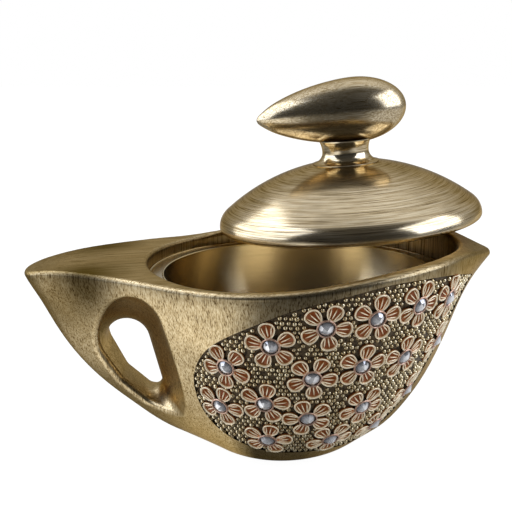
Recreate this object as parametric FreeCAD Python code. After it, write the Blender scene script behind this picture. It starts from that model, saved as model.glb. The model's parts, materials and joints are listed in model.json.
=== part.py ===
import FreeCAD, Part
import math
import os
from FreeCAD import Placement, Rotation, Vector

# Keepsake box shaped like a small boat: a hull with a finger hole through its tail, a round well
# with a loose domed lid, and a flank panel of applied flowers with glass stones on each side.
# Millimetres, +Z up, +X towards the prow, origin at the middle of the felt pad under the foot.

# Hull: its lines go on above the lid's ledge, and the sheer of the rim is cut into that room
LEDGE_HEIGHT = 84.0
SHEER_ROOM = 22.0
HULL_HEIGHT = LEDGE_HEIGHT + SHEER_ROOM
TAIL_REACH = 132.0
PROW_REACH = 91.0
BELLY_RADIUS = 80.0
FOOT_SETBACK = 9.5
TAIL_NOSE_RADIUS = 19.0
PROW_NOSE_RADIUS = 8.0
RIM_ROUND = 2.2

# Lines of the hull as pairs of height share and reach share
KEEL_LINE = ((0.0, 0.34), (0.04, 0.435), (0.09, 0.515), (0.15, 0.583), (0.30, 0.729),
             (0.446, 0.832), (0.594, 0.904), (0.70, 0.948), (0.778, 0.985), (0.85, 1.0), (1.0, 1.004))
STEM_LINE = ((0.0, 0.29), (0.04, 0.408), (0.114, 0.512), (0.26, 0.638), (0.41, 0.728),
             (0.557, 0.796), (0.705, 0.863), (0.778, 0.909), (0.852, 0.974), (0.89, 0.995), (1.0, 1.0))
BELLY_LINE = ((0.0, 0.375), (0.04, 0.467), (0.114, 0.569), (0.19, 0.648), (0.264, 0.713),
              (0.41, 0.806), (0.557, 0.879), (0.708, 0.94), (0.877, 0.994), (1.0, 1.02))
NOSE_LINE = ((0.0, 0.28), (0.28, 0.42), (0.56, 0.62), (0.8, 1.0), (1.0, 1.0))
STATIONS = (0.0, 0.035, 0.09, 0.17, 0.28, 0.42, 0.56, 0.69, 0.79, 0.87, 1.0)

# Sheer of the rim: share of the reach from the well's axis, and rise above the lid's ledge
SHEER_OVERRUN = 1.08
SHEER_STEPS = 28
SHEER_LINE = ((-1.1, 0.0), (-0.98, 2.4), (-0.92, 4.4), (-0.79, 6.5), (-0.59, 6.9), (-0.39, 6.4),
              (-0.15, 8.4), (0.15, 12.7), (0.45, 16.1), (0.74, 16.6), (0.91, 12.9), (0.99, 10.8), (1.1, 9.0))

# Well and its spun metal cup
WELL_RADIUS = 72.4
CUP_RADIUS = 65.0
CUP_FLOOR_HEIGHT = 22.0
CUP_FLOOR_RADIUS = 22.0
CUP_WALL = 1.2
CUP_CLEARANCE = 0.1

# Felt pad under the foot
PAD_RADIUS = 24.0
PAD_THICKNESS = 1.2
PAD_PROUD = 0.4
PAD_CLEARANCE = 0.1

# Finger hole through the tail: a teardrop that narrows from each flank to the middle plane.
# Its ends are x as a share of the tail's reach, height and radius as shares of the hull's height,
# in the middle plane first and then what the flare adds at its full depth.
HOLE_HEAD = (-0.626, 0.4906, 0.0981)
HOLE_TAIL = (-0.5455, 0.3019, 0.0491)
HOLE_BULGE = 0.0151
HOLE_FLARE_DEPTH = 50.0
HOLE_FLARE_POWER = 1.3
HOLE_FLARE_HEAD = (0.0152, 0.1462, 0.0755)
HOLE_FLARE_TAIL = (0.1402, -0.1934, 0.0377)
HOLE_FLARE_BULGE = 0.0472
HOLE_EDGE_ROUND = 2.4

# Flank panels: a thin ground plate in a recess of the hull
RECESS_DEPTH = 2.6
GROUND_DEPTH = 1.4
PANEL_CLEARANCE = 0.15
PANEL_STEM_BORDER = 8.5
PANEL_TOP_LINE = ((0.80, 0.882), (0.58, 0.904), (0.40, 0.903), (0.23, 0.880), (0.06, 0.851),
                  (-0.10, 0.814), (-0.26, 0.757), (-0.425, 0.684), (-0.54, 0.608))
PANEL_LEFT_LINE = ((-0.596, 0.531), (-0.617, 0.446), (-0.602, 0.360), (-0.545, 0.260), (-0.43, 0.174),
                   (-0.32, 0.132), (-0.19, 0.102))
PANEL_FOOT_SHARE = 0.092
PANEL_STEM_SHARES = (0.14, 0.26, 0.41, 0.56, 0.70)
PANEL_POINT_SHARE = 0.82
PANEL_CENTRE = (0.12, 0.5)

# Applied flowers: place on a flank as shares of the belly radius and of the hull height, and turn of a
# petal from level in degrees
FLOWER_PETALS = 5
PETAL_RADIUS = 4.7
PETAL_RING = 6.2
FLOWER_THICKNESS = 1.5
FLOWER_CLEARANCE = 0.04
COLLAR_WALL = 0.7
COLLAR_HEIGHT = 0.8
FLOWER_PLACES = ((-0.434, 0.544, 16), (-0.206, 0.660, 15), (0.071, 0.742, 69), (0.331, 0.768, 30),
                 (0.566, 0.797, 33), (0.757, 0.786, 60), (-0.466, 0.346, 32), (-0.232, 0.389, 66),
                 (0.010, 0.517, 67), (0.270, 0.557, 30), (0.509, 0.563, 67), (0.729, 0.569, 31),
                 (-0.212, 0.191, 65), (-0.004, 0.317, 45), (0.294, 0.346, 18), (0.579, 0.342, 30),
                 (0.132, 0.182, 10), (0.395, 0.199, 40))

# Glass stones
STONE_RADIUS = 3.15
STONE_HEIGHT = 2.0
STONE_TABLE_SHARE = 0.55
STONE_SIDES = 8
STONE_CLEARANCE = 0.05

# Lid, lying tilted on the rim behind and beside its well
LID_RADIUS = 67.7
LID_EDGE_DROP = 1.8
LID_EDGE_ROUND = 9.7
LID_DOME_RADIUS = 102.4
LID_WALL = 4.0
LID_SHIFT = (28.5, 49.3)
LID_TILT = 4.5
LID_GAP = 0.1
DISC_THICKNESS = 2.0
DISC_SEAT = 3.0
DISC_CLEARANCE = 0.1
BOSS_RADIUS = 8.0
BOSS_DROP = 3.0

# Knob: an egg with a drawn-out tip on a spool neck, held by one screw from below
KNOB_RADIUS = 16.6
KNOB_TIP_LENGTH = 50.0
KNOB_ROUND_LENGTH = 26.5
KNOB_FORWARD = 5.6
KNOB_DROOP = 2.0
KNOB_TIP_FULLNESS = (1.75, 0.66)
NECK_HEIGHT = 8.4
NECK_BASE_RADIUS = 17.0
NECK_WAIST_RADIUS = 11.9
NECK_WAIST_SHARE = 0.5
NECK_TOP_RADIUS = 13.2
NECK_LAND = 0.5
NECK_CRADLE = 2.2
NECK_CLEARANCE = 0.05
SCREW_RADIUS = 2.0
SCREW_HEAD_RADIUS = 3.8
SCREW_HEAD_HEIGHT = 2.6
SCREW_BITE = 12.0
SCREW_CLEARANCE = 0.1
WASHER_RADIUS = 6.0
WASHER_THICKNESS = 1.0

# Reach of cutting blocks and rays, clear of every piece
CLEAR_REACH = 200.0
SHEER_TOLERANCE = 0.05
SEAT_STEPS = 200
UP = Vector(0, 0, 1)


def smooth(knots, t):
    """Height of the smooth line through the knots at place t."""
    last = len(knots) - 2
    i = 0
    while i < last and t > knots[i + 1][0]:
        i += 1

    def slope(k):
        low = max(k - 1, 0)
        high = min(k + 1, len(knots) - 1)
        return (knots[high][1] - knots[low][1]) / (knots[high][0] - knots[low][0])

    (x0, y0), (x1, y1) = knots[i], knots[i + 1]
    span = x1 - x0
    s = (t - x0) / span
    rise = s * s * (3 - 2 * s)
    ease_in = s * (1 - s) ** 2
    ease_out = s * s * (s - 1)
    return y0 + (y1 - y0) * rise + span * (slope(i) * ease_in + slope(i + 1) * ease_out)


def sheer_height(x):
    """Height of the rim at a place along the well frame's X."""
    reach = PROW_REACH if x > 0 else TAIL_REACH
    return LEDGE_HEIGHT + smooth(SHEER_LINE, x / reach)


def stem_reach(share):
    return PROW_REACH * smooth(STEM_LINE, share)


def spline(points):
    curve = Part.BSplineCurve()
    curve.interpolate(points)
    return curve.toShape()


def arc(a, b, c):
    return Part.Arc(a, b, c).toShape()


def line(a, b):
    return Part.LineSegment(a, b).toShape()


def chain(points):
    """Straight edges from point to point."""
    return [line(a, b) for a, b in zip(points, points[1:])]


def extrude_y(edges, start, end):
    """Solid between two planes of constant Y, from edges drawn in the XZ plane."""
    face = Part.Face(Part.Wire(edges))
    face.translate(Vector(0, start, 0))
    return face.extrude(Vector(0, end - start, 0))


def revolve(edges):
    """Solid of revolution about Z, from closed edges drawn in the XZ plane."""
    face = Part.Face(Part.Wire(edges))
    return face.revolve(Vector(0, 0, 0), UP, 360)


def hull_section(share, inset):
    """Closed outline of the hull at a height share: tail nose, belly and prow nose, joined by tangents."""
    z = PAD_PROUD + share * (HULL_HEIGHT - PAD_PROUD)
    nose = smooth(NOSE_LINE, share)
    tail_r = TAIL_NOSE_RADIUS * nose - inset
    prow_r = PROW_NOSE_RADIUS - inset
    belly_r = BELLY_RADIUS * smooth(BELLY_LINE, share) - inset
    tail_x = TAIL_NOSE_RADIUS * nose - TAIL_REACH * smooth(KEEL_LINE, share)
    prow_x = stem_reach(share) - PROW_NOSE_RADIUS
    belly_x = -FOOT_SETBACK * max(0.0, 1 - z / LEDGE_HEIGHT)
    lean_tail = math.asin((tail_r - belly_r) / (belly_x - tail_x))
    lean_prow = math.asin((belly_r - prow_r) / (prow_x - belly_x))

    def on(centre, radius, lean, side):
        return Vector(centre + radius * math.sin(lean), side * radius * math.cos(lean), z)

    def half_turn(lean_a, lean_b):
        return (lean_a + lean_b) / 2

    quarter = math.pi / 2
    edges = []
    for side in (1, -1):
        prow_tip = on(prow_x, prow_r, quarter, side)
        tail_tip = on(tail_x, tail_r, -quarter, side)
        d = on(prow_x, prow_r, lean_prow, side)
        c = on(belly_x, belly_r, lean_prow, side)
        b = on(belly_x, belly_r, lean_tail, side)
        a = on(tail_x, tail_r, lean_tail, side)
        flank = [arc(prow_tip, on(prow_x, prow_r, half_turn(quarter, lean_prow), side), d),
                 line(d, c),
                 arc(c, on(belly_x, belly_r, half_turn(lean_prow, lean_tail), side), b),
                 line(b, a),
                 arc(a, on(tail_x, tail_r, half_turn(-quarter, lean_tail), side), tail_tip)]
        edges += flank if side > 0 else flank[::-1]
    return Part.Wire(edges)


def hull(inset):
    """Hull lofted through its stations and drawn in by the inset."""
    return Part.makeLoft([hull_section(share, inset) for share in STATIONS], True, False)


def sheer_cut():
    """Block above the rim."""
    start = -SHEER_OVERRUN * TAIL_REACH
    step = (SHEER_OVERRUN * PROW_REACH - start) / SHEER_STEPS
    points = [Vector(start + i * step, 0, sheer_height(start + i * step)) for i in range(SHEER_STEPS + 1)]
    top = HULL_HEIGHT + CLEAR_REACH
    high_end = Vector(points[-1].x, 0, top)
    high_start = Vector(points[0].x, 0, top)
    edges = [spline(points), line(points[-1], high_end), line(high_end, high_start),
             line(high_start, points[0])]
    return extrude_y(edges, -CLEAR_REACH, CLEAR_REACH)


def cup_inside(wall, top):
    """Solid of the cup's hollow grown by a wall, up to a height at or above the ledge."""
    radius = CUP_RADIUS + wall
    floor = CUP_FLOOR_HEIGHT - wall
    chord = radius - CUP_FLOOR_RADIUS
    drop = LEDGE_HEIGHT - floor
    bend = (chord * chord + drop * drop) / (2 * chord)
    middle = 0.5 * math.asin(drop / bend)
    bend_point = Vector(radius - bend + bend * math.cos(middle), 0, LEDGE_HEIGHT - bend * math.sin(middle))
    axis_low = Vector(0, 0, floor)
    corner = Vector(CUP_FLOOR_RADIUS, 0, floor)
    lip = Vector(radius, 0, LEDGE_HEIGHT)
    high = Vector(radius, 0, top)
    axis_high = Vector(0, 0, top)
    edges = [line(axis_low, corner), arc(corner, bend_point, lip)]
    if top > LEDGE_HEIGHT:
        edges.append(line(lip, high))
    edges += [line(high, axis_high), line(axis_high, axis_low)]
    return revolve(edges)


def inner_cup():
    """Spun cup whose turned-out flange is the ledge that the lid sits on."""
    flange_radius = WELL_RADIUS - CUP_CLEARANCE
    flange = Part.makeCylinder(flange_radius, CUP_WALL, Vector(0, 0, LEDGE_HEIGHT - CUP_WALL))
    cup = cup_inside(CUP_WALL, LEDGE_HEIGHT).fuse(flange).removeSplitter()
    return cup.cut(cup_inside(0.0, LEDGE_HEIGHT + CUP_WALL))


def well_cut():
    """Room in the hull for the cup, with the mouth above it."""
    floor_height = LEDGE_HEIGHT - CUP_WALL - CUP_CLEARANCE
    mouth = Part.makeCylinder(WELL_RADIUS, CLEAR_REACH, Vector(0, 0, floor_height))
    return cup_inside(CUP_WALL + CUP_CLEARANCE, LEDGE_HEIGHT).fuse(mouth)


def teardrop(y, head, head_radius, tail, tail_radius, bulge):
    """Closed teardrop in a plane of constant Y: two circles joined by a tangent, with a fuller keel side."""
    middle = ((head[0] + tail[0]) / 2, (head[1] + tail[1]) / 2)
    full_radius = (head_radius + tail_radius) / 2 + bulge
    reach = math.dist(head, tail)
    heading = math.atan2(tail[1] - head[1], tail[0] - head[0])
    right = heading + math.acos((head_radius - tail_radius) / reach)
    left_head = heading - math.acos((head_radius - full_radius) / (reach / 2))
    left_tail = heading - math.acos((full_radius - tail_radius) / (reach / 2))

    def on(centre, radius, turn):
        return Vector(centre[0] + radius * math.cos(turn), y, centre[1] + radius * math.sin(turn))

    edges = [line(on(head, head_radius, right), on(tail, tail_radius, right)),
             arc(on(tail, tail_radius, right), on(tail, tail_radius, (right + left_tail) / 2),
                 on(tail, tail_radius, left_tail)),
             line(on(tail, tail_radius, left_tail), on(middle, full_radius, left_tail)),
             arc(on(middle, full_radius, left_tail), on(middle, full_radius, (left_tail + left_head) / 2),
                 on(middle, full_radius, left_head)),
             line(on(middle, full_radius, left_head), on(head, head_radius, left_head)),
             arc(on(head, head_radius, left_head), on(head, head_radius, heading + math.pi),
                 on(head, head_radius, right))]
    return Part.Wire(edges)


def hole_end(middle, flare, share):
    """Centre and radius of one end of the teardrop, at a share of the full flare."""
    x, height, radius = (a + share * b for a, b in zip(middle, flare))
    return (x * TAIL_REACH, height * HULL_HEIGHT), radius * HULL_HEIGHT


def hole_cut():
    """Flared teardrop passage for a finger."""
    sections = []
    for flare in (-1.0, -0.5, 0.0, 0.5, 1.0):
        share = abs(flare) ** HOLE_FLARE_POWER
        head, head_radius = hole_end(HOLE_HEAD, HOLE_FLARE_HEAD, share)
        tail, tail_radius = hole_end(HOLE_TAIL, HOLE_FLARE_TAIL, share)
        bulge = (HOLE_BULGE + share * HOLE_FLARE_BULGE) * HULL_HEIGHT
        sections.append(teardrop(flare * HOLE_FLARE_DEPTH, head, head_radius, tail, tail_radius, bulge))
    return Part.makeLoft(sections, True, False)


def panel_prism(margin):
    """Block in front of the middle plane with the flank panel's outline, drawn in by a margin."""
    centre = Vector(PANEL_CENTRE[0] * BELLY_RADIUS, 0, PANEL_CENTRE[1] * HULL_HEIGHT)

    def place(x, z):
        point = Vector(x, 0, z)
        inward = centre - point
        return point + inward.normalize() * margin if margin else point

    def spot(pair):
        return place(pair[0] * BELLY_RADIUS, pair[1] * HULL_HEIGHT)

    def stem_spot(share):
        return place(stem_reach(share) - PANEL_STEM_BORDER, share * HULL_HEIGHT)

    point = stem_spot(PANEL_POINT_SHARE)
    side = [spot(pair) for pair in PANEL_TOP_LINE + PANEL_LEFT_LINE]
    heel = stem_spot(PANEL_FOOT_SHARE)
    stem = [heel] + [stem_spot(share) for share in PANEL_STEM_SHARES] + [point]
    edges = [spline([point] + side), line(side[-1], heel), spline(stem)]
    return extrude_y(edges, -CLEAR_REACH, 0)


def mirrored(shape):
    return shape.mirror(Vector(0, 0, 0), Vector(0, 1, 0))


def flank_recess(outer, floor):
    return panel_prism(0).common(outer).cut(floor)


def ground_plate(ground, floor):
    return panel_prism(PANEL_CLEARANCE).common(ground).cut(floor)


def flower_wire():
    """Five-lobed outline, one arc for each petal."""
    half = math.pi / FLOWER_PETALS
    notch = PETAL_RING * math.cos(half) + math.sqrt(PETAL_RADIUS ** 2 - (PETAL_RING * math.sin(half)) ** 2)
    reach = PETAL_RING + PETAL_RADIUS
    edges = []
    for k in range(FLOWER_PETALS):
        turn = 2 * half * k
        ends = [Vector(notch * math.cos(turn + side), notch * math.sin(turn + side), 0)
                for side in (-half, half)]
        edges.append(arc(ends[0], Vector(reach * math.cos(turn), reach * math.sin(turn), 0), ends[1]))
    return Part.Wire(edges)


def flower():
    """One flower lying on the XY plane, with a collar for its stone."""
    petals = Part.Face(flower_wire()).extrude(UP * FLOWER_THICKNESS)
    inner = STONE_RADIUS + STONE_CLEARANCE
    collar = Part.makeCylinder(inner + COLLAR_WALL, FLOWER_THICKNESS / 2 + COLLAR_HEIGHT,
                               Vector(0, 0, FLOWER_THICKNESS / 2))
    socket = Part.makeCylinder(inner, COLLAR_HEIGHT, Vector(0, 0, FLOWER_THICKNESS))
    return petals.fuse(collar).cut(socket)


def stone():
    """Cut glass stone lying in the collar of a flower."""
    low = FLOWER_THICKNESS + STONE_CLEARANCE
    girdle = low + COLLAR_HEIGHT / 2

    def ring(radius, z):
        turns = [2 * math.pi * k / STONE_SIDES for k in range(STONE_SIDES + 1)]
        return Part.makePolygon([Vector(radius * math.cos(t), radius * math.sin(t), z) for t in turns])

    rings = [ring(STONE_RADIUS, low), ring(STONE_RADIUS, girdle),
             ring(STONE_RADIUS * STONE_TABLE_SHARE, low + STONE_HEIGHT)]
    return Part.makeLoft(rings, True, True)


def flank_point(ground, x, z):
    """Point on the near side of the ground surface at a place along the flank."""
    ray = line(Vector(x, -CLEAR_REACH, z), Vector(x, 0, z))
    return min((vertex.Point for vertex in ground.common(ray).Vertexes), key=lambda point: point.y)


def flank_seat(ground, x, z, turn):
    """Placement on the ground surface with +Z along its outward normal."""
    step = 1.0
    point = flank_point(ground, x, z)
    along = flank_point(ground, x + step, z) - flank_point(ground, x - step, z)
    up = flank_point(ground, x, z + step) - flank_point(ground, x, z - step)
    normal = along.cross(up).normalize()
    seat = Placement(point + normal * FLOWER_CLEARANCE, Rotation(UP, normal))
    return seat.multiply(Placement(Vector(), Rotation(UP, turn)))


def dome_heights():
    """Heights above the lid's underside: widest circle, dome centre and crown."""
    widest = LID_EDGE_DROP
    rise = math.sqrt((LID_DOME_RADIUS - LID_EDGE_ROUND) ** 2 - (LID_RADIUS - LID_EDGE_ROUND) ** 2)
    centre = widest - rise
    return widest, centre, centre + LID_DOME_RADIUS


def boss_face():
    return dome_heights()[2] - LID_WALL - BOSS_DROP


def lid_dome():
    """Domed shell with a rounded edge, a rebate for the base disc and a boss for the knob's screw."""
    widest, centre, crown = dome_heights()
    edge_x = LID_RADIUS - LID_EDGE_ROUND
    lean = math.asin(edge_x / (LID_DOME_RADIUS - LID_EDGE_ROUND))

    def on_dome(radius, turn):
        return Vector(radius * math.sin(turn), 0, centre + radius * math.cos(turn))

    quarter = math.pi / 4
    low_round = LID_EDGE_DROP
    low = Vector(LID_RADIUS - low_round, 0, 0)
    low_mid = Vector(LID_RADIUS - low_round * (1 - math.cos(quarter)), 0,
                     widest - low_round * math.sin(quarter))
    side = Vector(LID_RADIUS, 0, widest)
    edge_turn = (math.pi / 2 - lean) / 2
    edge_mid = Vector(edge_x + LID_EDGE_ROUND * math.cos(edge_turn), 0,
                      widest + LID_EDGE_ROUND * math.sin(edge_turn))
    shoulder = on_dome(LID_DOME_RADIUS, lean)
    top = Vector(0, 0, crown)
    inner = LID_DOME_RADIUS - LID_WALL
    disc_radius = LID_RADIUS - LID_WALL
    cavity_radius = disc_radius - DISC_SEAT
    cavity_turn = math.asin(cavity_radius / inner)
    outer = revolve([line(Vector(), low), arc(low, low_mid, side), arc(side, edge_mid, shoulder),
                     arc(shoulder, on_dome(LID_DOME_RADIUS, lean / 2), top), line(top, Vector())])
    rebate = Part.makeCylinder(disc_radius, DISC_THICKNESS)
    cavity_foot = Vector(cavity_radius, 0, 0)
    cavity_top = on_dome(inner, 0)
    cavity = revolve([line(Vector(), cavity_foot), line(cavity_foot, on_dome(inner, cavity_turn)),
                      arc(on_dome(inner, cavity_turn), on_dome(inner, cavity_turn / 2), cavity_top),
                      line(cavity_top, Vector())])
    boss = Part.makeCylinder(BOSS_RADIUS, BOSS_DROP + LID_WALL / 2, Vector(0, 0, boss_face()))
    bore = Part.makeCylinder(SCREW_RADIUS + SCREW_CLEARANCE, crown)
    return outer.cut(rebate).cut(cavity).fuse(boss).removeSplitter().cut(bore)


def lid_base_disc():
    return Part.makeCylinder(LID_RADIUS - LID_WALL - DISC_CLEARANCE, DISC_THICKNESS)


def knob_axis_height():
    return dome_heights()[2] + NECK_HEIGHT + KNOB_RADIUS


def knob_solid(grow, bore):
    """Egg with its tip towards the tail and drooping a little, grown by a clearance."""
    power, root = KNOB_TIP_FULLNESS
    height = knob_axis_height()
    widest = KNOB_RADIUS + grow
    tip_length = KNOB_TIP_LENGTH + grow

    def at(x, radius):
        return Vector(KNOB_FORWARD + x, 0, height + radius)

    shares = (0.0, 0.2, 0.4, 0.6, 0.75, 0.87, 0.95, 1.0)
    points = [at(-tip_length * u, widest * (1 - u ** power) ** root) for u in shares]
    curve = Part.BSplineCurve()
    curve.interpolate(Points=points, InitialTangent=Vector(-1, 0, 0), FinalTangent=Vector(-0.2, 0, -1))
    back = at(KNOB_ROUND_LENGTH + grow, 0)
    ellipse = Part.Ellipse(back, points[0], at(0, 0))
    round_end = Part.ArcOfEllipse(ellipse, 0, math.pi / 2).toShape()
    face = Part.Face(Part.Wire([round_end, curve.toShape(), line(points[-1], back)]))
    egg = face.revolve(at(0, 0), Vector(1, 0, 0), 360)
    egg.rotate(at(0, 0), Vector(0, 1, 0), -KNOB_DROOP)
    if bore:
        top = height - KNOB_RADIUS + SCREW_BITE + SCREW_CLEARANCE
        egg = egg.cut(Part.makeCylinder(SCREW_RADIUS + SCREW_CLEARANCE, top))
    return egg


def neck_flare(waist, end):
    """Arc from the upright side of the neck's waist to a wider end above or below it."""
    out = end.x - waist.x
    rise = end.z - waist.z
    bend = (out * out + rise * rise) / (2 * out)
    half = math.asin(rise / bend) / 2
    middle = Vector(waist.x + bend * (1 - math.cos(half)), 0, waist.z + bend * math.sin(half))
    return arc(waist, middle, end)


def knob_neck():
    """Spool that flares into the dome and cradles the knob."""
    centre, crown = dome_heights()[1:]
    foot = crown - NECK_HEIGHT / 2
    low = math.sqrt(LID_DOME_RADIUS ** 2 - NECK_BASE_RADIUS ** 2) + centre + NECK_LAND
    head = knob_axis_height() - KNOB_RADIUS + NECK_CRADLE
    top = head - NECK_LAND

    def at(radius, height):
        return Vector(radius, 0, height)

    waist = at(NECK_WAIST_RADIUS, low + NECK_WAIST_SHARE * (top - low))
    base = [at(0, head), at(0, foot), at(NECK_BASE_RADIUS, foot), at(NECK_BASE_RADIUS, low)]
    crest = [at(NECK_TOP_RADIUS, top), at(NECK_TOP_RADIUS, head), at(0, head)]
    spool = revolve(chain(base) + [neck_flare(waist, base[-1]), neck_flare(waist, crest[0])] + chain(crest))
    side = 2 * NECK_BASE_RADIUS
    under_knob = Part.makeBox(2 * side, 2 * side, head, Vector(-side, -side, 0))
    under_knob = under_knob.cut(knob_solid(NECK_CLEARANCE, False))
    dome = Part.makeSphere(LID_DOME_RADIUS + NECK_CLEARANCE, Vector(0, 0, centre))
    bore = Part.makeCylinder(SCREW_RADIUS + SCREW_CLEARANCE, head)
    return spool.common(under_knob).cut(dome).cut(bore)


def knob_screw():
    """Pan head screw from under the lid into the knob."""
    seat = boss_face() - WASHER_THICKNESS
    reach = knob_axis_height() - KNOB_RADIUS + SCREW_BITE - seat
    shank = Part.makeCylinder(SCREW_RADIUS, reach, Vector(0, 0, seat))
    head = Part.makeCylinder(SCREW_HEAD_RADIUS, SCREW_HEAD_HEIGHT, Vector(0, 0, seat - SCREW_HEAD_HEIGHT))
    return shank.fuse(head).removeSplitter()


def knob_washer():
    seat = Vector(0, 0, boss_face() - WASHER_THICKNESS)
    ring = Part.makeCylinder(WASHER_RADIUS, WASHER_THICKNESS, seat)
    return ring.cut(Part.makeCylinder(SCREW_RADIUS + SCREW_CLEARANCE, WASHER_THICKNESS, seat))


def lid_seat():
    """Placement of the lid: tilted, shifted off its well, its flat underside just clear of the rim."""
    slope = math.tan(math.radians(LID_TILT))
    shift_x, shift_y = LID_SHIFT
    low = shift_x - LID_RADIUS
    places = [low + 2 * LID_RADIUS * i / SEAT_STEPS for i in range(SEAT_STEPS + 1)]
    rest = max(sheer_height(x) - slope * (x - shift_x) for x in places if x < PROW_REACH)
    return Placement(Vector(shift_x, shift_y, rest + LID_GAP), Rotation(Vector(0, 1, 0), -LID_TILT))


def base_pad():
    return Part.makeCylinder(PAD_RADIUS, PAD_THICKNESS, Vector(-FOOT_SETBACK, 0, 0))


def pad_recess():
    return Part.makeCylinder(PAD_RADIUS + PAD_CLEARANCE, PAD_THICKNESS, Vector(-FOOT_SETBACK, 0, 0))


def rim_edges(body):
    """Edges that lie on the sheer all along."""
    found = []
    for edge in body.Edges:
        first, last = edge.ParameterRange
        points = [edge.valueAt(first + share * (last - first)) for share in (0, 0.25, 0.5, 0.75, 1)]
        if all(abs(point.z - sheer_height(point.x)) < SHEER_TOLERANCE for point in points):
            found.append(edge)
    return found


def meeting_edges(body, first, second):
    """Edges of the body whose middle lies on the skins of both shapes."""
    found = []
    for edge in body.Edges:
        middle = Part.Vertex(edge.valueAt(sum(edge.ParameterRange) / 2))
        if all(middle.distToShape(shape.Shells[0])[0] < SHEER_TOLERANCE for shape in (first, second)):
            found.append(edge)
    return found


def bowl_body(outer, recess):
    """Hull with its rounded rim, well, rounded finger hole, panel recesses and pad recess."""
    body = outer.cut(sheer_cut()).cut(well_cut())
    body = body.makeFillet(RIM_ROUND, rim_edges(body))
    hole = hole_cut()
    body = body.cut(hole)
    body = body.makeFillet(HOLE_EDGE_ROUND, meeting_edges(body, outer, hole))
    for tool in (recess, mirrored(recess), pad_recess()):
        body = body.cut(tool)
    return body


def flank_pieces(ground):
    """Flowers and stones of the near flank, by number."""
    flowers = []
    stones = []
    for x, z, turn in FLOWER_PLACES:
        seat = flank_seat(ground, x * BELLY_RADIUS, z * HULL_HEIGHT, turn)
        for pieces, shape in ((flowers, flower()), (stones, stone())):
            shape.Placement = seat
            pieces.append(shape)
    return flowers, stones


def box_nodes():
    """Every piece by its node name, in the well frame."""
    outer = hull(0)
    ground = hull(GROUND_DEPTH)
    floor = hull(RECESS_DEPTH)
    plate = ground_plate(ground, floor)
    flowers, stones = flank_pieces(ground)
    nodes = {"bowl_body": bowl_body(outer, flank_recess(outer, floor)),
             "inner_cup": inner_cup(),
             "base_pad": base_pad(),
             "front_panel": plate,
             "back_panel": mirrored(plate),
             "crystals_front": Part.makeCompound(stones),
             "crystals_back": Part.makeCompound([mirrored(piece) for piece in stones])}
    for number, piece in enumerate(flowers, 1):
        nodes["flower_front_%02d" % number] = piece
        nodes["flower_back_%02d" % number] = mirrored(piece)
    return nodes


def lid_nodes():
    """Every piece of the lid by its node name, in the well frame."""
    seat = lid_seat()
    nodes = {"lid_dome": lid_dome(), "lid_base_disc": lid_base_disc(), "knob_neck": knob_neck(),
             "knob": knob_solid(0, True), "knob_screw": knob_screw(), "knob_washer": knob_washer()}
    for shape in nodes.values():
        shape.Placement = seat
    return nodes


def main():
    os.makedirs("parts", exist_ok=True)
    nodes = box_nodes()
    nodes.update(lid_nodes())
    for name, shape in nodes.items():
        shape.translate(Vector(FOOT_SETBACK, 0, 0))
        shape.exportStep("parts/" + name + ".step")


main()
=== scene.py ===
"""Keepsake box shaped like a small boat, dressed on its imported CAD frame."""

import json
import logging
import math
import random
from dataclasses import dataclass, field
from enum import Enum
from typing import Any, Dict, List, Optional, Sequence, Tuple

import bmesh
import bpy
from mathutils import Matrix, Vector
from mathutils.bvhtree import BVHTree

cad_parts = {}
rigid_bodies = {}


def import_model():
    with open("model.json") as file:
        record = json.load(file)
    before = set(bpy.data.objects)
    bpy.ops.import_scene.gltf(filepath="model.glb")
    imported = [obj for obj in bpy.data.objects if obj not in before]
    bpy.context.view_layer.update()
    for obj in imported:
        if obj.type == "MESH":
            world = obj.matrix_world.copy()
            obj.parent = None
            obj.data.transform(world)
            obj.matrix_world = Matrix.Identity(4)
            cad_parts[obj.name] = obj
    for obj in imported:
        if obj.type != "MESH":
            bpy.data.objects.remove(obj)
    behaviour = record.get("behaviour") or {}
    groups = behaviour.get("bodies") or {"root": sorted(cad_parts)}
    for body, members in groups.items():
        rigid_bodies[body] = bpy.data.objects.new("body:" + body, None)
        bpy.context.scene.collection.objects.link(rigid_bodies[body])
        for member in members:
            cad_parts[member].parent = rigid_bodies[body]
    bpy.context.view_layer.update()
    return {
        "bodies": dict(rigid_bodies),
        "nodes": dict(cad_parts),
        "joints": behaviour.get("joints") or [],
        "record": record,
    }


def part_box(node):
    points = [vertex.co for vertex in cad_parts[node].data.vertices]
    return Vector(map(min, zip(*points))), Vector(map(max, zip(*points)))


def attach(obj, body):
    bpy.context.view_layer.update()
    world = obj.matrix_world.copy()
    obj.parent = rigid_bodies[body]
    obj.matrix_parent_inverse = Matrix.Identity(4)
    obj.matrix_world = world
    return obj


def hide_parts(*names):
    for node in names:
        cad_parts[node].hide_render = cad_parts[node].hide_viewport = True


MM = 0.001
# Quarter turn of the shader's stretch, which spreads highlights across turning lines.
ACROSS_THE_LINES = 0.25
LOG = logging.getLogger("keepsake_box")

Colour = Tuple[float, float, float, float]
Triple = Tuple[float, float, float]


class Grain(Enum):
    """Direction that a brushed coat was rubbed in."""

    FLANK = "down the flanks, slanting over the rim"
    TURNED = "round the axis of a turned piece"
    LENGTHWISE = "from the tip of the knob to its round end"


class Side(Enum):
    """Flank of the hull, with the sign of its Y."""

    FRONT = -1
    BACK = 1


def linear(code: str) -> Colour:
    """Turns an sRGB hex value into a linear colour.

    Args:
        code: Six hex digits after a hash sign.

    Returns:
        Red, green, blue and alpha for a node socket.
    """
    parts = [int(code[i:i + 2], 16) / 255 for i in (1, 3, 5)]
    lit = [c / 12.92 if c <= 0.04045 else ((c + 0.055) / 1.055) ** 2.4 for c in parts]
    return (lit[0], lit[1], lit[2], 1.0)


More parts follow.
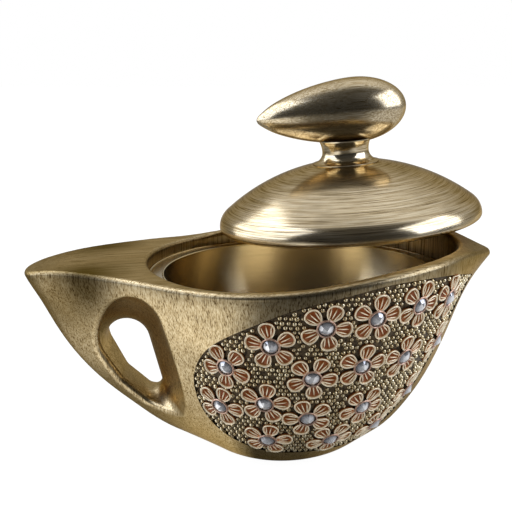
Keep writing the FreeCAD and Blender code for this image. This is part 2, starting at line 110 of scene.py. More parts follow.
def fill(tree: bpy.types.NodeTree, node: bpy.types.Node, inputs: Dict[Any, Any]) -> None:
    """Sets or links inputs of a node.

    Args:
        tree: Node tree that holds the node.
        node: Node whose inputs are filled.
        inputs: Input name or number to a value or to an output socket.
    """
    for key, value in inputs.items():
        if isinstance(value, bpy.types.NodeSocket):
            tree.links.new(value, node.inputs[key])
        else:
            node.inputs[key].default_value = value


def add_node(tree: bpy.types.NodeTree, kind: str, inputs: Optional[Dict[Any, Any]] = None,
             stops: Sequence[Tuple[float, Any]] = (), **settings: Any) -> bpy.types.Node:
    """Adds a node with its settings, and fills or links its inputs.

    Args:
        tree: Node tree that gets the node.
        kind: Type name of the node.
        inputs: Input name or number to a value or to an output socket.
        stops: Place and grey level or colour of each stop of a colour ramp.
        settings: Properties of the node.

    Returns:
        The new node.
    """
    node = tree.nodes.new(kind)
    for name, value in settings.items():
        setattr(node, name, value)
    fill(tree, node, inputs or {})
    if stops:
        elements = node.color_ramp.elements
        while len(elements) < len(stops):
            elements.new(1.0)
        for element, (place, level) in zip(elements, stops):
            element.position = place
            element.color = level if isinstance(level, tuple) else (level, level, level, 1.0)
    return node


def new_material(name: str) -> Tuple[bpy.types.Material, bpy.types.NodeTree, bpy.types.Node]:
    """Makes a material with one principled shader.

    Args:
        name: Name of the finish.

    Returns:
        The material, its node tree and its shader node.
    """
    material = bpy.data.materials.new(name)
    material.use_nodes = True
    tree = material.node_tree
    return material, tree, tree.nodes["Principled BSDF"]


def draw_across(tree: bpy.types.NodeTree, shader: bpy.types.Node, amount: float) -> None:
    """Spreads the highlights of a turned piece across its turning lines.

    Args:
        tree: Node tree of the material.
        shader: Its principled shader.
        amount: Anisotropy, where 0 is none.
    """
    tangent = add_node(tree, "ShaderNodeTangent", direction_type="RADIAL", axis="Z")
    fill(tree, shader, {"Tangent": tangent.outputs[0], "Anisotropic": amount,
                        "Anisotropic Rotation": ACROSS_THE_LINES})


def mesh_object(name: str, shape: bmesh.types.BMesh, finishes: Sequence[bpy.types.Material],
                smooth: bool = True) -> bpy.types.Object:
    """Turns a bmesh into an object at the origin.

    Args:
        name: Name of the piece.
        shape: The finished bmesh, freed here.
        finishes: Materials by slot.
        smooth: Whether its faces are shaded smooth.

    Returns:
        The linked object.
    """
    for face in shape.faces:
        face.smooth = smooth
    mesh = bpy.data.meshes.new(name)
    shape.to_mesh(mesh)
    shape.free()
    for finish in finishes:
        mesh.materials.append(finish)
    piece = bpy.data.objects.new(name, mesh)
    bpy.context.scene.collection.objects.link(piece)
    return piece


def gather(whole: bmesh.types.BMesh, part: bmesh.types.BMesh) -> None:
    """Adds a part to a whole and frees the part.

    Args:
        whole: Bmesh that grows.
        part: Bmesh that is added.
    """
    mesh = bpy.data.meshes.new("part")
    part.to_mesh(mesh)
    part.free()
    whole.from_mesh(mesh)
    bpy.data.meshes.remove(mesh)


def dress(node: bpy.types.Object, finish: bpy.types.Material) -> None:
    """Gives a CAD node one finish."""
    node.data.materials.clear()
    node.data.materials.append(finish)


@dataclass(frozen=True)
class PaintedDarkSpot:
    """Painted dark spot on a coat, standing in for a dark reflection: centre and radius in millimetres, and
    the share of colour left.
    """

    centre_mm: Triple
    radius_mm: float
    left: float


@dataclass(frozen=True)
class RimLine:
    """Heights of the hull's rim at even steps from its lowest to its highest X, in metres."""

    start: float
    end: float
    heights: Tuple[float, ...]

    @classmethod
    def measure(cls, hull: bpy.types.Object, steps: int) -> "RimLine":
        """Measures the rim of the hull.

        Args:
            hull: CAD node of the hull.
            steps: Number of steps along X.

        Returns:
            The rim's line.
        """
        points = [vert.co for vert in hull.data.vertices]
        start = min(point.x for point in points)
        end = max(point.x for point in points)
        step = (end - start) / steps
        tops = [0.0] * (steps + 1)
        for point in points:
            number = round((point.x - start) / step)
            tops[number] = max(tops[number], point.z)
        return cls(start, end, tuple(tops))

    def depth(self, tree: bpy.types.NodeTree, place: bpy.types.NodeSocket) -> bpy.types.NodeSocket:
        """Depth below the rim.

        Args:
            tree: Node tree of the material.
            place: Object coordinates.

        Returns:
            Socket of the depth in metres.
        """
        parts = add_node(tree, "ShaderNodeSeparateXYZ", {0: place})
        share = add_node(tree, "ShaderNodeMapRange", {0: parts.outputs[0], 1: self.start, 2: self.end})
        low = min(self.heights)
        span = max(self.heights) - low
        curve = add_node(tree, "ShaderNodeFloatCurve", {"Value": share.outputs[0]})
        points = curve.mapping.curves[0].points
        last = len(self.heights) - 1
        for number, height in enumerate(self.heights):
            spot = (number / last, (height - low) / span)
            if number in (0, last):
                points[0 if number == 0 else -1].location = spot
            else:
                points.new(*spot)
        curve.mapping.update()
        rim = add_node(tree, "ShaderNodeMath", {0: curve.outputs[0], 1: span, 2: low},
                       operation="MULTIPLY_ADD")
        depth = add_node(tree, "ShaderNodeMath", {0: rim.outputs[0], 1: parts.outputs[2]},
                         operation="SUBTRACT")
        return depth.outputs[0]


@dataclass(frozen=True)
class BrushedGold:
    """Resin casting with a brushed antique gold coat.

    The coat is rubbed with a wire brush, which leaves fine lines, and an umber wash stays in
    the lines and in patches. Painted dark spots stand in for dark reflections, and painted shade
    darkens the rounded rim and the band under it. The wire's lines are about 0.1 mm wide and
    are drawn wider here, so that they show in the render.
    """

    name: str
    grain: Grain
    gold: str = "#CBB893"
    pale: str = "#EEE0C4"
    umber: str = "#604A2C"
    edge: str = "#DCC69C"
    roughness: float = 0.31
    line_mm: float = 0.36
    line_length_mm: float = 34.0
    broad_width: float = 3.2
    broad_length: float = 1.8
    broad_share: float = 0.28
    rim_slant: float = math.radians(-14)
    mean_radius_mm: float = 45.0
    origin_mm: Triple = (0.0, 0.0, 0.0)
    tilt: float = 0.0
    drawn: float = 0.0
    bump_mm: float = 0.007
    patch_mm: float = 24.0
    patch_left: float = 0.8
    painted_dark_spots: Tuple[PaintedDarkSpot, ...] = ()
    rim: Optional[RimLine] = None
    over_rim_mm: float = 2.0
    under_rim_mm: float = 18.0

    def place(self, tree: bpy.types.NodeTree) -> bpy.types.NodeSocket:
        """Object coordinates in the frame of the piece.

        Args:
            tree: Node tree of the material.

        Returns:
            Vector socket in metres.
        """
        coords = add_node(tree, "ShaderNodeTexCoord")
        shift = add_node(tree, "ShaderNodeVectorMath",
                         {0: coords.outputs["Object"], 1: tuple(c * MM for c in self.origin_mm)},
                         operation="SUBTRACT")
        turn = add_node(tree, "ShaderNodeVectorRotate", {"Vector": shift.outputs[0], "Angle": self.tilt},
                        rotation_type="Y_AXIS")
        return turn.outputs[0]

    def stretched(self, tree: bpy.types.NodeTree, place: bpy.types.NodeSocket, scales: Triple,
                  turn: float) -> bpy.types.NodeSocket:
        """Noise that is drawn out along one direction.

        Args:
            tree: Node tree of the material.
            place: Coordinates in the frame of the piece.
            scales: Features for each metre along X, Y and Z.
            turn: Turn about Z before the stretch.

        Returns:
            Grey socket.
        """
        turned = add_node(tree, "ShaderNodeVectorRotate", {"Vector": place, "Angle": turn},
                          rotation_type="Z_AXIS")
        drawn = add_node(tree, "ShaderNodeVectorMath", {0: turned.outputs[0], 1: scales},
                         operation="MULTIPLY")
        noise = add_node(tree, "ShaderNodeTexNoise",
                         {"Vector": drawn.outputs[0], "Scale": 1.0, "Detail": 2.0, "Roughness": 0.6})
        return noise.outputs["Fac"]

    def turned(self, tree: bpy.types.NodeTree, place: bpy.types.NodeSocket, across: float,
               along: float) -> bpy.types.NodeSocket:
        """Noise that is drawn out round the axis.

        Args:
            tree: Node tree of the material.
            place: Coordinates in the frame of the piece.
            across: Features for each metre of radius and height.
            along: Features for each metre along a ring of the mean radius.

        Returns:
            Grey socket.
        """
        parts = add_node(tree, "ShaderNodeSeparateXYZ", {0: place})
        flat = add_node(tree, "ShaderNodeCombineXYZ", {0: parts.outputs[0], 1: parts.outputs[1]})
        radius = add_node(tree, "ShaderNodeVectorMath", {0: flat.outputs[0]}, operation="LENGTH")
        heading = add_node(tree, "ShaderNodeVectorMath", {0: flat.outputs[0]}, operation="NORMALIZE")
        ring = add_node(tree, "ShaderNodeVectorMath",
                        {0: heading.outputs[0], "Scale": along * self.mean_radius_mm * MM},
                        operation="SCALE")
        reach = add_node(tree, "ShaderNodeMath", {0: radius.outputs["Value"], 1: across},
                         operation="MULTIPLY")
        height = add_node(tree, "ShaderNodeMath", {0: parts.outputs[2], 1: across}, operation="MULTIPLY")
        lift = add_node(tree, "ShaderNodeCombineXYZ", {2: reach.outputs[0]})
        where = add_node(tree, "ShaderNodeVectorMath", {0: ring.outputs[0], 1: lift.outputs[0]},
                         operation="ADD")
        noise = add_node(tree, "ShaderNodeTexNoise",
                         {"Vector": where.outputs[0], "W": height.outputs[0], "Scale": 1.0, "Detail": 2.0,
                          "Roughness": 0.6}, noise_dimensions="4D")
        return noise.outputs["Fac"]

    def lines(self, tree: bpy.types.NodeTree, place: bpy.types.NodeSocket, width_mm: float,
              length_mm: float) -> bpy.types.NodeSocket:
        """Brush lines of one width.

        Args:
            tree: Node tree of the material.
            place: Coordinates in the frame of the piece.
            width_mm: Width of a line.
            length_mm: Length of a line.

        Returns:
            Grey socket, dark in the lines.
        """
        across = 1 / (width_mm * MM)
        along = 1 / (length_mm * MM)
        if self.grain is Grain.TURNED:
            return self.turned(tree, place, across, along)
        if self.grain is Grain.LENGTHWISE:
            return self.stretched(tree, place, (along, across, across), 0.0)
        down = self.stretched(tree, place, (across, across, along), 0.0)
        over = self.stretched(tree, place, (along, across, across), self.rim_slant)
        facing = add_node(tree, "ShaderNodeNewGeometry")
        upward = add_node(tree, "ShaderNodeSeparateXYZ", {0: facing.outputs["Normal"]})
        top = add_node(tree, "ShaderNodeValToRGB", {"Fac": upward.outputs[2]},
                       stops=((0.55, 0.0), (0.75, 1.0))).outputs["Color"]
        mixed = add_node(tree, "ShaderNodeMix", {"Factor": top, 2: down, 3: over}, data_type="FLOAT")
        return mixed.outputs[0]

    def wash_and_painted_shade(self, tree: bpy.types.NodeTree, place: bpy.types.NodeSocket,
             colour: bpy.types.NodeSocket) -> bpy.types.NodeSocket:
        """Darkens the coat in soft patches, in painted dark spots that stand in for dark reflections, and
        with painted shade along and under the rim.

        Args:
            tree: Node tree of the material.
            place: Coordinates in the frame of the piece.
            colour: Colour of the coat.

        Returns:
            Colour socket.
        """
        patches = add_node(tree, "ShaderNodeTexNoise",
                           {"Vector": place, "Scale": 1 / (self.patch_mm * MM), "Detail": 3.0,
                            "Roughness": 0.55})
        washes_and_painted_shade = [add_node(tree, "ShaderNodeValToRGB", {"Fac": patches.outputs["Fac"]},
                           stops=((0.35, self.patch_left), (0.58, 1.0)))]
        # Painted dark reflections: each spot darkens the coat towards its centre.
        for dark_spot in self.painted_dark_spots:
            centre = tuple(c * MM for c in dark_spot.centre_mm)
            away = add_node(tree, "ShaderNodeVectorMath", {0: place, 1: centre}, operation="DISTANCE")
            share = add_node(tree, "ShaderNodeMath", {0: away.outputs["Value"], 1: dark_spot.radius_mm * MM},
                             operation="DIVIDE")
            brown = (dark_spot.left, dark_spot.left * 0.94, dark_spot.left * 0.8, 1.0)
            washes_and_painted_shade.append(add_node(tree, "ShaderNodeValToRGB", {"Fac": share.outputs[0]},
                                   stops=((0.25, brown), (1.0, 1.0))))
        if self.rim:
            depth = self.rim.depth(tree, place)
            share = add_node(tree, "ShaderNodeMapRange",
                             {0: depth, 1: -self.over_rim_mm * MM, 2: self.under_rim_mm * MM})
            # Painted shade: the coat keeps its colour above the rim's edge, is darkest over the rounded edge
            # and just under it, which dims that edge's reflection, and lightens down the flank.
            washes_and_painted_shade.append(add_node(tree, "ShaderNodeValToRGB", {"Fac": share.outputs[0]},
                                   stops=((0.09, 1.0), (0.12, 0.9), (0.16, 0.55), (0.24, 0.58),
                                          (0.5, 0.88), (1.0, 1.0))))
        for layer in washes_and_painted_shade:
            colour = add_node(tree, "ShaderNodeMix", {"Factor": 1.0, 6: colour, 7: layer.outputs["Color"]},
                              data_type="RGBA", blend_type="MULTIPLY").outputs[2]
        return colour

    def build(self) -> bpy.types.Material:
        """Makes the material.

        Returns:
            The material.
        """
        material, tree, shader = new_material(self.name)
        place = self.place(tree)
        fine = self.lines(tree, place, self.line_mm, self.line_length_mm)
        broad = self.lines(tree, place, self.line_mm * self.broad_width,
                           self.line_length_mm * self.broad_length)
        lines = add_node(tree, "ShaderNodeMix", {"Factor": self.broad_share, 2: fine, 3: broad},
                         data_type="FLOAT").outputs[0]
        colour = add_node(tree, "ShaderNodeValToRGB", {"Fac": lines},
                          stops=((0.365, linear(self.umber)), (0.47, linear(self.gold)),
                                 (0.61, linear(self.pale)))).outputs["Color"]
        gloss = add_node(tree, "ShaderNodeValToRGB", {"Fac": lines},
                         stops=((0.33, self.roughness + 0.07),
                                (0.64, self.roughness - 0.04))).outputs["Color"]
        bump = add_node(tree, "ShaderNodeBump",
                        {"Height": lines, "Distance": self.bump_mm * MM, "Strength": 0.7})
        fill(tree, shader, {"Base Color": self.wash_and_painted_shade(tree, place, colour), "Roughness": gloss,
                            "Normal": bump.outputs[0], "Metallic": 1.0,
                            "Specular Tint": linear(self.edge)})
        if self.drawn:
            draw_across(tree, shader, self.drawn)
        return material


@dataclass(frozen=True)
class SatinBrass:
    """Spun brass cup under clear lacquer: smooth, with faint turning lines, drawn wider than real ones."""

    name: str
    brass: str = "#D4C29C"
    shade: str = "#C6B48E"
    roughness: float = 0.24
    origin_mm: Triple = (9.5, 0.0, 0.0)
    line_mm: float = 0.6
    line_length_mm: float = 40.0
    bump_mm: float = 0.006
    drawn: float = 0.75

    def build(self) -> bpy.types.Material:
        """Makes the material.

        Returns:
            The material.
        """
        material, tree, shader = new_material(self.name)
        turned = BrushedGold(self.name, Grain.TURNED, origin_mm=self.origin_mm)
        place = turned.place(tree)
        lines = turned.lines(tree, place, self.line_mm, self.line_length_mm)
        colour = add_node(tree, "ShaderNodeValToRGB", {"Fac": lines},
                          stops=((0.3, linear(self.shade)), (0.65, linear(self.brass)))).outputs["Color"]
        gloss = add_node(tree, "ShaderNodeValToRGB", {"Fac": lines},
                         stops=((0.3, self.roughness + 0.03), (0.65, self.roughness - 0.02))).outputs["Color"]
        bump = add_node(tree, "ShaderNodeBump",
                        {"Height": lines, "Distance": self.bump_mm * MM, "Strength": 0.4})
        fill(tree, shader, {"Base Color": colour, "Roughness": gloss, "Normal": bump.outputs[0],
                            "Metallic": 1.0})
        draw_across(tree, shader, self.drawn)
        return material


@dataclass(frozen=True)
class SpeckledFinish:
    """Plain coat with a speckle, drawn coarser than real grit, fibre or plating so that it shows."""

    name: str
    light: str
    dark: str
    speckle_mm: float
    roughness: float
    metallic: float
    bump_mm: float = 0.0

    def build(self) -> bpy.types.Material:
        """Makes the material.

        Returns:
            The material.
        """
        material, tree, shader = new_material(self.name)
        coords = add_node(tree, "ShaderNodeTexCoord")
        noise = add_node(tree, "ShaderNodeTexNoise",
                         {"Vector": coords.outputs["Object"], "Scale": 1 / (self.speckle_mm * MM),
                          "Detail": 3.0, "Roughness": 0.6})
        colour = add_node(tree, "ShaderNodeValToRGB", {"Fac": noise.outputs["Fac"]},
                          stops=((0.35, linear(self.dark)), (0.62, linear(self.light)))).outputs["Color"]
        fill(tree, shader, {"Base Color": colour, "Roughness": self.roughness, "Metallic": self.metallic})
        if self.bump_mm:
            bump = add_node(tree, "ShaderNodeBump",
                            {"Height": noise.outputs["Fac"], "Distance": self.bump_mm * MM, "Strength": 0.8})
            fill(tree, shader, {"Normal": bump.outputs[0]})
        return material


@dataclass(frozen=True)
class PetalEnamel:
    """Rust enamel brushed into cast petals, wiped off their raised edges to a pale gold cream.

    Some flowers lean to golden brown, in soft patches over the flank.
    """

    name: str
    hollow: str = "#84441C"
    rust: str = "#C27636"
    brown: str = "#A06E32"
    tip: str = "#A87C48"
    cream: str = "#EADCBE"
    grain_mm: float = 1.3
    patch_mm: float = 26.0
    uneven: float = 0.36
    roughness: float = 0.32
    metallic: float = 0.3

    def build(self) -> bpy.types.Material:
        """Makes the material.

        Returns:
            The material.
        """
        material, tree, shader = new_material(self.name)
        raised = add_node(tree, "ShaderNodeAttribute", attribute_name="raised")
        coords = add_node(tree, "ShaderNodeTexCoord")
        noise = add_node(tree, "ShaderNodeTexNoise",
                         {"Vector": coords.outputs["Object"], "Scale": 1 / (self.grain_mm * MM),
                          "Detail": 2.0})
        tint = add_node(tree, "ShaderNodeTexNoise",
                        {"Vector": coords.outputs["Object"], "Scale": 1 / (self.patch_mm * MM),
                         "Detail": 1.0})
        lit = add_node(tree, "ShaderNodeValToRGB", {"Fac": tint.outputs["Fac"]},
                       stops=((0.42, linear(self.rust)), (0.6, linear(self.brown)))).outputs["Color"]
        reach = add_node(tree, "ShaderNodeAttribute", attribute_name="reach")
        outer = add_node(tree, "ShaderNodeValToRGB", {"Fac": reach.outputs["Fac"]},
                         stops=((0.45, 0.0), (0.8, 1.0))).outputs["Color"]
        paint = add_node(tree, "ShaderNodeMix", {"Factor": outer, 6: lit, 7: linear(self.tip)},
                         data_type="RGBA").outputs[2]
        uneven = add_node(tree, "ShaderNodeMath",
                          {0: noise.outputs["Fac"], 1: self.uneven, 2: -self.uneven / 2},
                          operation="MULTIPLY_ADD")
        level = add_node(tree, "ShaderNodeMath", {0: raised.outputs["Fac"], 1: uneven.outputs[0]},
                         operation="ADD")
        rise = add_node(tree, "ShaderNodeValToRGB", {"Fac": level.outputs[0]},
                        stops=((0.0, 0.0), (0.28, 1.0))).outputs["Color"]
        filled = add_node(tree, "ShaderNodeMix", {"Factor": rise, 6: linear(self.hollow), 7: paint},
                          data_type="RGBA")
        wiped = add_node(tree, "ShaderNodeValToRGB", {"Fac": level.outputs[0]},
                         stops=((0.48, 0.0), (0.78, 1.0))).outputs["Color"]
        colour = add_node(tree, "ShaderNodeMix",
                          {"Factor": wiped, 6: filled.outputs[2], 7: linear(self.cream)}, data_type="RGBA")
        fill(tree, shader, {"Base Color": colour.outputs[2], "Roughness": self.roughness,
                            "Metallic": self.metallic})
        return material


@dataclass(frozen=True)
class StoneGlass:
    """Polished cut glass stone with a silver foil behind it that mirrors light out through the facets; its
    colour runs from a painted highlight at the point to painted shade at the girdle.
    """

    name: str
    point: str = "#FFFFFF"
    crown: str = "#EDEDF0"
    girdle: str = "#8C8C90"
    metallic: float = 0.8
    roughness: float = 0.06
    coat: float = 0.6

    def build(self) -> bpy.types.Material:
        """Makes the material.

        Returns:
            The material.
        """
        material, tree, shader = new_material(self.name)
        reach = add_node(tree, "ShaderNodeAttribute", attribute_name="reach")
        # Painted highlight at the point and painted shade at the girdle, set by distance from the stone's
        # centre.
        colour = add_node(tree, "ShaderNodeValToRGB", {"Fac": reach.outputs["Fac"]},
                          stops=((0.2, linear(self.point)), (0.55, linear(self.crown)),
                                 (0.95, linear(self.girdle)))).outputs["Color"]
        fill(tree, shader, {"Base Color": colour, "Metallic": self.metallic, "Roughness": self.roughness,
                            "Coat Weight": self.coat})
        return material


@dataclass(frozen=True)
class Seat:
    """Place of a flower on its flank: centre, outward normal and direction of a petal."""

    centre: Vector
    normal: Vector
    petal: Vector

    def frame(self) -> Matrix:
        """Frame of the flower on its flank.

        Returns:
            Matrix from flower coordinates, with +Z outwards and a petal along +X.
        """
        side = self.normal.cross(self.petal).normalized()
        along = side.cross(self.normal).normalized()
        frame = Matrix((along, side, self.normal)).transposed().to_4x4()
        frame.translation = self.centre
        return frame


@dataclass
class Studio:
    """Camera of the photograph, soft boxes left and right, dim camera side, pale floor."""

    camera_mm: Triple = (-20.80, -462.53, 196.70)
    forward: Triple = (0.01906, 0.97488, -0.22189)
    lens: float = 70.3125
    floor_size: float = 6.0
    light_tint: Triple = (1.0, 1.08, 1.28)
    middle: Triple = (0.0, 0.0, 0.09)

    def build_camera(self) -> None:
        """Makes the camera at the photograph's viewing angle."""
        data = bpy.data.cameras.new("camera")
        data.lens = self.lens
        data.sensor_width = 36.0
        data.clip_start = 0.01
        camera = bpy.data.objects.new("camera", data)
        camera.location = Vector(self.camera_mm) * MM
        camera.rotation_euler = Vector(self.forward).to_track_quat("-Z", "Y").to_euler()
        bpy.context.scene.collection.objects.link(camera)
        bpy.context.scene.camera = camera

    def soft_box(self, name: str, place: Triple, roll: float, size: Tuple[float, float],
                 radiance: float) -> None:
        """Adds a rectangular soft light.

        Args:
            name: Name of the light.
            place: Centre in metres.
            roll: Turn about its own axis in degrees.
            size: Width and height in metres.
            radiance: Brightness of its face, where 1 is white.
        """
        data = bpy.data.lights.new(name, "AREA")
        data.shape = "RECTANGLE"
        data.size, data.size_y = size
        data.energy = radiance * math.pi * size[0] * size[1]
        data.color = self.light_tint
        light = bpy.data.objects.new(name, data)
        light.location = place
        heading = Vector(self.middle) - Vector(place)
        turn = heading.to_track_quat("-Z", "Y").to_matrix() @ Matrix.Rotation(math.radians(roll), 3, "Z")
        light.rotation_euler = turn.to_euler()
        bpy.context.scene.collection.objects.link(light)

    def build_lights(self) -> None:
        """Adds the soft boxes left and right."""
        self.soft_box("left_box", (-0.86, 0.15, 0.60), 15.0, (1.3, 1.2), 1.9)
        self.soft_box("right_box", (0.84, -0.18, 0.58), 0.0, (0.9, 0.78), 2.5)

    def build_world(self) -> None:
        """Makes a world that is pale behind the object and dim on the camera's side."""
        world = bpy.data.worlds.new("studio")
        bpy.context.scene.world = world
        world.use_nodes = True
        tree = world.node_tree
        ground = tree.nodes["Background"]
        coords = add_node(tree, "ShaderNodeTexCoord")
        parts = add_node(tree, "ShaderNodeSeparateXYZ", {0: coords.outputs["Generated"]})
        # From the camera's side at 0 to the back of the room at 1, and from the horizon up.
        depth = add_node(tree, "ShaderNodeMath", {0: parts.outputs[1], 1: 0.5, 2: 0.5},
                         operation="MULTIPLY_ADD")
        room = add_node(tree, "ShaderNodeValToRGB", {"Fac": depth.outputs[0]},
                        stops=((0.41, 0.06), (0.51, 0.3), (0.58, 0.62), (1.0, 0.62))).outputs["Color"]
        lift = add_node(tree, "ShaderNodeValToRGB", {"Fac": parts.outputs[2]},
                        stops=((0.0, 0.5), (0.5, 0.8), (0.8, 1.2), (0.97, 1.5))).outputs["Color"]
        room = add_node(tree, "ShaderNodeMix", {"Factor": 1.0, 6: room, 7: lift},
                        data_type="RGBA", blend_type="MULTIPLY").outputs[2]
        path = add_node(tree, "ShaderNodeLightPath")
        lit = add_node(tree, "ShaderNodeMix",
                       {"Factor": path.outputs["Is Diffuse Ray"], 6: room, 7: (0.75, 0.75, 0.75, 1.0)},
                       data_type="RGBA")
        seen = add_node(tree, "ShaderNodeMix",
                        {"Factor": path.outputs["Is Camera Ray"], 6: lit.outputs[2], 7: (1.0, 1.0, 1.0, 1.0)},
                        data_type="RGBA")
        fill(tree, ground, {"Color": seen.outputs[2]})

    def build_floor(self) -> None:
        """Makes the pale floor, which keeps the shadow, is dim towards the camera in reflections, and carries
        a painted contact shadow round the object in reflections.
        """
        shape = bmesh.new()
        bmesh.ops.create_grid(shape, x_segments=1, y_segments=1, size=self.floor_size / 2)
        material, tree, shader = new_material("pale_floor")
        fill(tree, shader, {"Base Color": linear("#F2F1EE"), "Roughness": 0.9})
        path = add_node(tree, "ShaderNodeLightPath")
        coords = add_node(tree, "ShaderNodeTexCoord")
        parts = add_node(tree, "ShaderNodeSeparateXYZ", {0: coords.outputs["Object"]})
        front = add_node(tree, "ShaderNodeMath", {0: parts.outputs[1], 1: -1.0}, operation="MULTIPLY")
        angle = add_node(tree, "ShaderNodeMath", {0: parts.outputs[0], 1: front.outputs[0]},
                         operation="ARCTAN2")
        share = add_node(tree, "ShaderNodeMath", {0: angle.outputs[0], 1: 0.5 / math.pi, 2: 0.5},
                         operation="MULTIPLY_ADD")
        # Round the object, with the back at 0 and 1, the left at 0.25 and the camera's side at 0.5.
        tone = add_node(tree, "ShaderNodeValToRGB", {"Fac": share.outputs[0]},
                        stops=((0.0, 0.66), (0.14, 0.22), (0.23, 0.36), (0.285, 1.1), (0.31, 1.25),
                               (0.38, 1.25), (0.435, 0.15), (0.54, 0.15), (0.64, 0.62),
                               (1.0, 0.66))).outputs["Color"]
        # Painted contact shadow in reflections: the mirrored tone is darker within about 0.1 m of the floor's
        # middle, under the object.
        away = add_node(tree, "ShaderNodeVectorMath", {0: coords.outputs["Object"]}, operation="LENGTH")
        near = add_node(tree, "ShaderNodeValToRGB", {"Fac": away.outputs["Value"]},
                        stops=((0.08, 0.62), (0.13, 1.0))).outputs["Color"]
        shade = add_node(tree, "ShaderNodeMix", {"Factor": 1.0, 6: tone, 7: near}, data_type="RGBA",
                         blend_type="MULTIPLY")
        mirrored = add_node(tree, "ShaderNodeEmission", {"Color": shade.outputs[2]})
        glow = add_node(tree, "ShaderNodeEmission", {"Strength": 1.12})
        lift = add_node(tree, "ShaderNodeMath", {0: path.outputs["Is Camera Ray"], 1: 0.86},
                        operation="MULTIPLY")
        seen = add_node(tree, "ShaderNodeMixShader",
                        {0: lift.outputs[0], 1: shader.outputs[0], 2: glow.outputs[0]})
        mixed = add_node(tree, "ShaderNodeMixShader",
                         {0: path.outputs["Is Glossy Ray"], 1: seen.outputs[0], 2: mirrored.outputs[0]})
        fill(tree, tree.nodes["Material Output"], {"Surface": mixed.outputs[0]})
        mesh_object("floor", shape, [material])

    def build(self) -> None:
        """Makes everything round the object."""
        self.build_camera()
        self.build_lights()
        self.build_world()
        self.build_floor()
        bpy.context.scene.view_settings.view_transform = "Standard"


